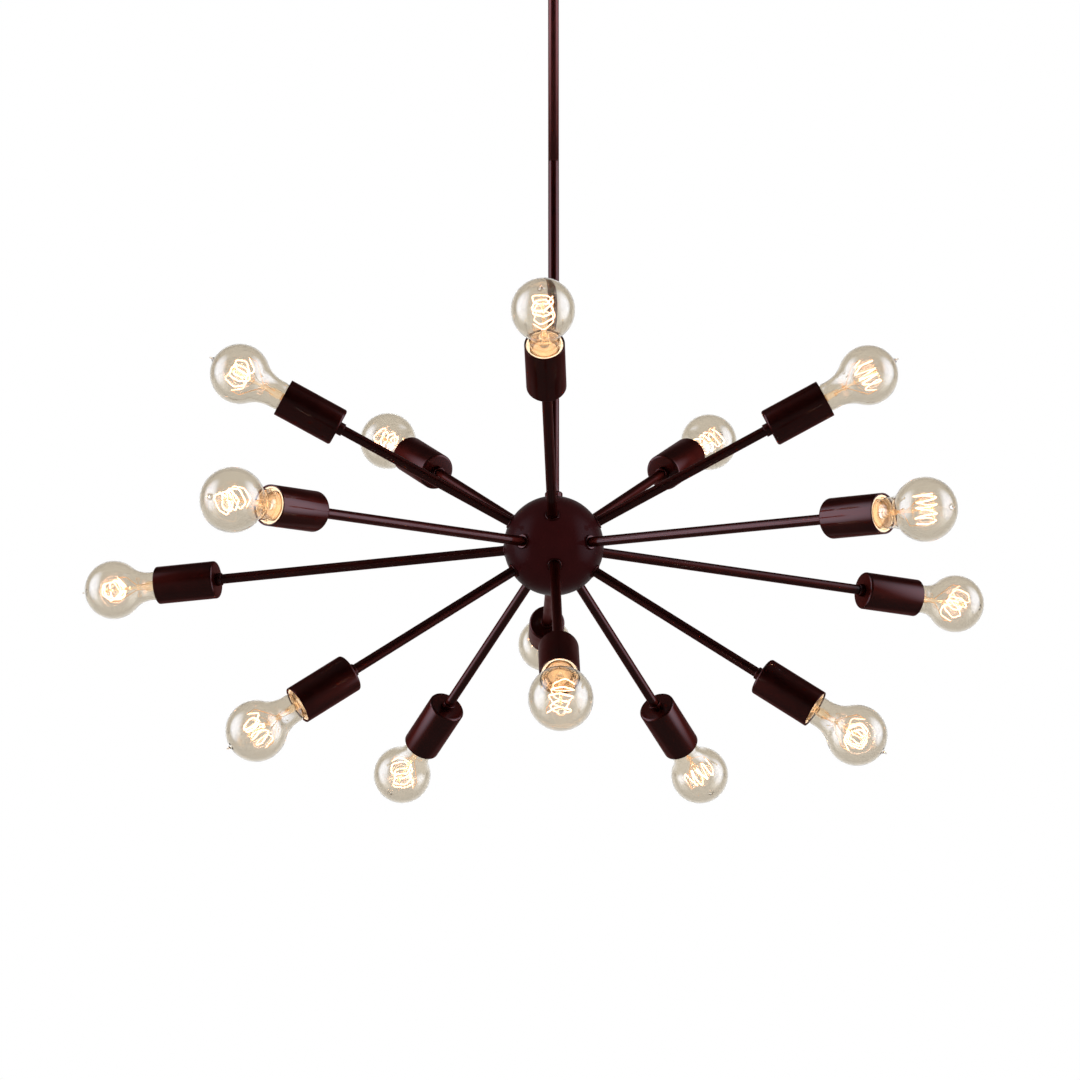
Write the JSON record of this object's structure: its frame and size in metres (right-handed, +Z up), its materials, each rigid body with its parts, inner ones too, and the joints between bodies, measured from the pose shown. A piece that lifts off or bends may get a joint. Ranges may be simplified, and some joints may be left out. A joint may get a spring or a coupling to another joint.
{
  "type": "chandelier",
  "caption": "Chandelier with a ball hub on a stem and tiers of straight radial arms, each ending in a cup with a bare pear-shaped bulb that unscrews; swivels under a ceiling canopy.",
  "frame": {"origin": "middle of the mounting strap, in the ceiling plane", "axes": "+Z up into the ceiling, -Y towards the front, +X to the right as seen from the front"},
  "size_m": [0.9377, 0.8911, 0.9681],
  "materials": {
    "bronze": "glossy very dark red-brown bronze lacquer",
    "clear_glass": "clear blown glass",
    "brass": "drawn brass",
    "lampholder": "cream moulding with a slight gloss",
    "plated_steel": "zinc-plated steel",
    "solder": "dull solder"
  },
  "bodies": {
    "ceiling": {"mounting_strap": "plated_steel", "canopy": "bronze", "swivel_socket": "bronze"},
    "yoke": {"swivel_yoke": "bronze", "swivel_pin": "plated_steel"},
    "fixture": {"swivel_knuckle": "bronze", "stem_upper": "bronze", "stem_lower": "bronze", "stem_check_ring": "bronze", "hub": "bronze", "arms": "bronze", "lamp_cups": "bronze", "lampholder_bodies": "lampholder", "lampholder_shells": "brass", "lampholder_contacts": "brass"},
    "contact_upper_1": {"bulb_contact_upper_1": "solder"},
    "bulb_upper_1": {"bulb_glass_upper_1": "clear_glass", "bulb_cap_upper_1": "brass"},
    "contact_upper_2": {"bulb_contact_upper_2": "solder"},
    "bulb_upper_2": {"bulb_glass_upper_2": "clear_glass", "bulb_cap_upper_2": "brass"},
    "contact_upper_3": {"bulb_contact_upper_3": "solder"},
    "bulb_upper_3": {"bulb_glass_upper_3": "clear_glass", "bulb_cap_upper_3": "brass"},
    "contact_upper_4": {"bulb_contact_upper_4": "solder"},
    "bulb_upper_4": {"bulb_glass_upper_4": "clear_glass", "bulb_cap_upper_4": "brass"},
    "contact_upper_5": {"bulb_contact_upper_5": "solder"},
    "bulb_upper_5": {"bulb_glass_upper_5": "clear_glass", "bulb_cap_upper_5": "brass"},
    "contact_middle_1": {"bulb_contact_middle_1": "solder"},
    "bulb_middle_1": {"bulb_glass_middle_1": "clear_glass", "bulb_cap_middle_1": "brass"},
    "contact_middle_2": {"bulb_contact_middle_2": "solder"},
    "bulb_middle_2": {"bulb_glass_middle_2": "clear_glass", "bulb_cap_middle_2": "brass"},
    "contact_middle_3": {"bulb_contact_middle_3": "solder"},
    "bulb_middle_3": {"bulb_glass_middle_3": "clear_glass", "bulb_cap_middle_3": "brass"},
    "contact_middle_4": {"bulb_contact_middle_4": "solder"},
    "bulb_middle_4": {"bulb_glass_middle_4": "clear_glass", "bulb_cap_middle_4": "brass"},
    "contact_middle_5": {"bulb_contact_middle_5": "solder"},
    "bulb_middle_5": {"bulb_glass_middle_5": "clear_glass", "bulb_cap_middle_5": "brass"},
    "contact_lower_1": {"bulb_contact_lower_1": "solder"},
    "bulb_lower_1": {"bulb_glass_lower_1": "clear_glass", "bulb_cap_lower_1": "brass"},
    "contact_lower_2": {"bulb_contact_lower_2": "solder"},
    "bulb_lower_2": {"bulb_glass_lower_2": "clear_glass", "bulb_cap_lower_2": "brass"},
    "contact_lower_3": {"bulb_contact_lower_3": "solder"},
    "bulb_lower_3": {"bulb_glass_lower_3": "clear_glass", "bulb_cap_lower_3": "brass"},
    "contact_lower_4": {"bulb_contact_lower_4": "solder"},
    "bulb_lower_4": {"bulb_glass_lower_4": "clear_glass", "bulb_cap_lower_4": "brass"},
    "contact_lower_5": {"bulb_contact_lower_5": "solder"},
    "bulb_lower_5": {"bulb_glass_lower_5": "clear_glass", "bulb_cap_lower_5": "brass"}
  },
  "joints": [
    {"name": "swivel_turn", "type": "hinge", "parent": "ceiling", "child": "yoke", "pos_m": [0, 0, -0.0633], "axis": [0, 0, 1], "range_deg": [-160, 160]},
    {"name": "swivel_tilt", "type": "hinge", "parent": "yoke", "child": "fixture", "pos_m": [0, 0, -0.0633], "axis": [1, 0, 0], "range_deg": [-40, 40]},
    {"name": "bulb_travel_upper_1", "type": "slide", "parent": "fixture", "child": "contact_upper_1", "axis": [-0.031, -0.8881, 0.4586], "range_m": [0, 0.01634]},
    {"name": "bulb_screw_upper_1", "type": "hinge", "parent": "contact_upper_1", "child": "bulb_upper_1", "pos_m": [-0.00867, -0.24822, -0.61181], "axis": [-0.031, -0.8881, 0.4586], "range_deg": [0, 1620]},
    {"name": "bulb_travel_upper_2", "type": "slide", "parent": "fixture", "child": "contact_upper_2", "axis": [0.8777, -0.139, 0.4586], "range_m": [0, 0.01634]},
    {"name": "bulb_screw_upper_2", "type": "hinge", "parent": "contact_upper_2", "child": "bulb_upper_2", "pos_m": [0.24531, -0.03885, -0.61181], "axis": [0.8777, -0.139, 0.4586], "range_deg": [0, 1620]},
    {"name": "bulb_travel_upper_3", "type": "slide", "parent": "fixture", "child": "contact_upper_3", "axis": [0.4709, 0.7536, 0.4586], "range_m": [0, 0.01634]},
    {"name": "bulb_screw_upper_3", "type": "hinge", "parent": "contact_upper_3", "child": "bulb_upper_3", "pos_m": [0.13162, 0.21063, -0.61181], "axis": [0.4709, 0.7536, 0.4586], "range_deg": [0, 1620]},
    {"name": "bulb_travel_upper_4", "type": "slide", "parent": "fixture", "child": "contact_upper_4", "axis": [-0.4969, 0.7367, 0.4586], "range_m": [0, 0.01634]},
    {"name": "bulb_screw_upper_4", "type": "hinge", "parent": "contact_upper_4", "child": "bulb_upper_4", "pos_m": [-0.13889, 0.20591, -0.61181], "axis": [-0.4969, 0.7367, 0.4586], "range_deg": [0, 1620]},
    {"name": "bulb_travel_upper_5", "type": "slide", "parent": "fixture", "child": "contact_upper_5", "axis": [-0.8751, -0.1543, 0.4586], "range_m": [0, 0.01634]},
    {"name": "bulb_screw_upper_5", "type": "hinge", "parent": "contact_upper_5", "child": "bulb_upper_5", "pos_m": [-0.2446, -0.04313, -0.61181], "axis": [-0.8751, -0.1543, 0.4586], "range_deg": [0, 1620]},
    {"name": "bulb_travel_middle_1", "type": "slide", "parent": "fixture", "child": "contact_middle_1", "axis": [-0.6284, -0.776, -0.0541], "range_m": [0, 0.01634]},
    {"name": "bulb_screw_middle_1", "type": "hinge", "parent": "contact_middle_1", "child": "bulb_middle_1", "pos_m": [-0.24445, -0.30187, -0.76104], "axis": [-0.6284, -0.776, -0.0541], "range_deg": [0, 1620]},
    {"name": "bulb_travel_middle_2", "type": "slide", "parent": "fixture", "child": "contact_middle_2", "axis": [0.7303, -0.681, -0.0541], "range_m": [0, 0.01634]},
    {"name": "bulb_screw_middle_2", "type": "hinge", "parent": "contact_middle_2", "child": "bulb_middle_2", "pos_m": [0.28408, -0.26491, -0.76104], "axis": [0.7303, -0.681, -0.0541], "range_deg": [0, 1620]},
    {"name": "bulb_travel_middle_3", "type": "slide", "parent": "fixture", "child": "contact_middle_3", "axis": [0.905, 0.422, -0.0541], "range_m": [0, 0.01634]},
    {"name": "bulb_screw_middle_3", "type": "hinge", "parent": "contact_middle_3", "child": "bulb_middle_3", "pos_m": [0.35204, 0.16416, -0.76104], "axis": [0.905, 0.422, -0.0541], "range_deg": [0, 1620]},
    {"name": "bulb_travel_middle_4", "type": "slide", "parent": "fixture", "child": "contact_middle_4", "axis": [-0.0174, 0.9984, -0.0541], "range_m": [0, 0.01634]},
    {"name": "bulb_screw_middle_4", "type": "hinge", "parent": "contact_middle_4", "child": "bulb_middle_4", "pos_m": [-0.00678, 0.38837, -0.76104], "axis": [-0.0174, 0.9984, -0.0541], "range_deg": [0, 1620]},
    {"name": "bulb_travel_middle_5", "type": "slide", "parent": "fixture", "child": "contact_middle_5", "axis": [-0.9689, 0.2416, -0.0541], "range_m": [0, 0.01634]},
    {"name": "bulb_screw_middle_5", "type": "hinge", "parent": "contact_middle_5", "child": "bulb_middle_5", "pos_m": [-0.37689, 0.09397, -0.76104], "axis": [-0.9689, 0.2416, -0.0541], "range_deg": [0, 1620]},
    {"name": "bulb_travel_lower_1", "type": "slide", "parent": "fixture", "child": "contact_lower_1", "axis": [0.0146, -0.8347, -0.5505], "range_m": [0, 0.01634]},
    {"name": "bulb_screw_lower_1", "type": "hinge", "parent": "contact_lower_1", "child": "bulb_lower_1", "pos_m": [0.00412, -0.23623, -0.89579], "axis": [0.0146, -0.8347, -0.5505], "range_deg": [0, 1620]},
    {"name": "bulb_travel_lower_2", "type": "slide", "parent": "fixture", "child": "contact_lower_2", "axis": [0.8222, -0.145, -0.5505], "range_m": [0, 0.01634]},
    {"name": "bulb_screw_lower_2", "type": "hinge", "parent": "contact_lower_2", "child": "bulb_lower_2", "pos_m": [0.23267, -0.04103, -0.89579], "axis": [0.8222, -0.145, -0.5505], "range_deg": [0, 1620]},
    {"name": "bulb_travel_lower_3", "type": "slide", "parent": "fixture", "child": "contact_lower_3", "axis": [0.43, 0.7156, -0.5505], "range_m": [0, 0.01634]},
    {"name": "bulb_screw_lower_3", "type": "hinge", "parent": "contact_lower_3", "child": "bulb_lower_3", "pos_m": [0.12168, 0.20252, -0.89579], "axis": [0.43, 0.7156, -0.5505], "range_deg": [0, 1620]},
    {"name": "bulb_travel_lower_4", "type": "slide", "parent": "fixture", "child": "contact_lower_4", "axis": [-0.4424, 0.708, -0.5505], "range_m": [0, 0.01634]},
    {"name": "bulb_screw_lower_4", "type": "hinge", "parent": "contact_lower_4", "child": "bulb_lower_4", "pos_m": [-0.1252, 0.20036, -0.89579], "axis": [-0.4424, 0.708, -0.5505], "range_deg": [0, 1620]},
    {"name": "bulb_travel_lower_5", "type": "slide", "parent": "fixture", "child": "contact_lower_5", "axis": [-0.8025, -0.2301, -0.5505], "range_m": [0, 0.01634]},
    {"name": "bulb_screw_lower_5", "type": "hinge", "parent": "contact_lower_5", "child": "bulb_lower_5", "pos_m": [-0.22711, -0.06512, -0.89579], "axis": [-0.8025, -0.2301, -0.5505], "range_deg": [0, 1620]}
  ],
  "couplings": [
    {"joint": "bulb_travel_upper_1", "follows": "bulb_screw_upper_1", "m_per_rad": 0.0005775},
    {"joint": "bulb_travel_upper_2", "follows": "bulb_screw_upper_2", "m_per_rad": 0.0005775},
    {"joint": "bulb_travel_upper_3", "follows": "bulb_screw_upper_3", "m_per_rad": 0.0005775},
    {"joint": "bulb_travel_upper_4", "follows": "bulb_screw_upper_4", "m_per_rad": 0.0005775},
    {"joint": "bulb_travel_upper_5", "follows": "bulb_screw_upper_5", "m_per_rad": 0.0005775},
    {"joint": "bulb_travel_middle_1", "follows": "bulb_screw_middle_1", "m_per_rad": 0.0005775},
    {"joint": "bulb_travel_middle_2", "follows": "bulb_screw_middle_2", "m_per_rad": 0.0005775},
    {"joint": "bulb_travel_middle_3", "follows": "bulb_screw_middle_3", "m_per_rad": 0.0005775},
    {"joint": "bulb_travel_middle_4", "follows": "bulb_screw_middle_4", "m_per_rad": 0.0005775},
    {"joint": "bulb_travel_middle_5", "follows": "bulb_screw_middle_5", "m_per_rad": 0.0005775},
    {"joint": "bulb_travel_lower_1", "follows": "bulb_screw_lower_1", "m_per_rad": 0.0005775},
    {"joint": "bulb_travel_lower_2", "follows": "bulb_screw_lower_2", "m_per_rad": 0.0005775},
    {"joint": "bulb_travel_lower_3", "follows": "bulb_screw_lower_3", "m_per_rad": 0.0005775},
    {"joint": "bulb_travel_lower_4", "follows": "bulb_screw_lower_4", "m_per_rad": 0.0005775},
    {"joint": "bulb_travel_lower_5", "follows": "bulb_screw_lower_5", "m_per_rad": 0.0005775}
  ]
}
